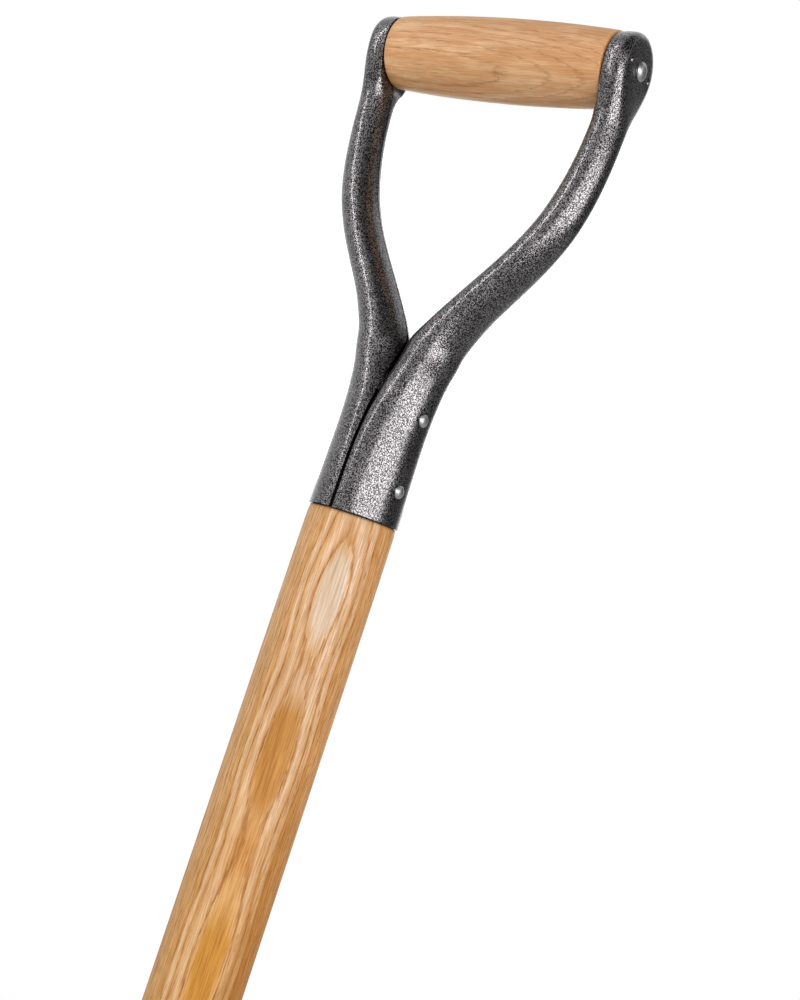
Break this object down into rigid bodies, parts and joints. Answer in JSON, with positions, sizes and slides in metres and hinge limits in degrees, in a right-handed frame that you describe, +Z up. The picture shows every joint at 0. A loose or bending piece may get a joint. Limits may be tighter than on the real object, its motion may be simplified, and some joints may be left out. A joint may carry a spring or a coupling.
{
  "type": "pointed spade",
  "caption": "Pointed digging spade with a wooden grip in a split tubular steel yoke, a round wooden shaft and a dished blade held between riveted straps.",
  "frame": {"origin": "the point under the middle of the grip where a hook carries the hanging spade", "axes": "+Z up the shaft towards the grip, +X along the grip, the hollow front of the blade faces -Y"},
  "size_m": [0.1844, 0.0636, 1.1711],
  "materials": {
    "grip_wood": "oiled ash, turned smooth",
    "shaft_wood": "oiled ash, sanded along the grain",
    "hammertone_enamel": "dark grey hammertone enamel, semi gloss",
    "rivet_steel": "bright steel"
  },
  "bodies": {
    "root": {"wooden_grip": "grip_wood", "grip_rivet": "rivet_steel", "lock_pin_left_front": "rivet_steel", "lock_pin_left_back": "rivet_steel", "lock_pin_right_front": "rivet_steel", "lock_pin_right_back": "rivet_steel", "yoke_half_left": "hammertone_enamel", "yoke_half_right": "hammertone_enamel", "yoke_rivet_lower": "rivet_steel", "yoke_rivet_upper": "rivet_steel", "shaft": "shaft_wood", "blade": "hammertone_enamel", "strap_front": "hammertone_enamel", "strap_back": "hammertone_enamel", "strap_rivet_lower": "rivet_steel", "strap_rivet_middle": "rivet_steel", "strap_rivet_upper": "rivet_steel", "blade_rivet_left_lower": "rivet_steel", "blade_rivet_left_upper": "rivet_steel", "blade_rivet_right_lower": "rivet_steel", "blade_rivet_right_upper": "rivet_steel"}
  },
  "joints": []
}
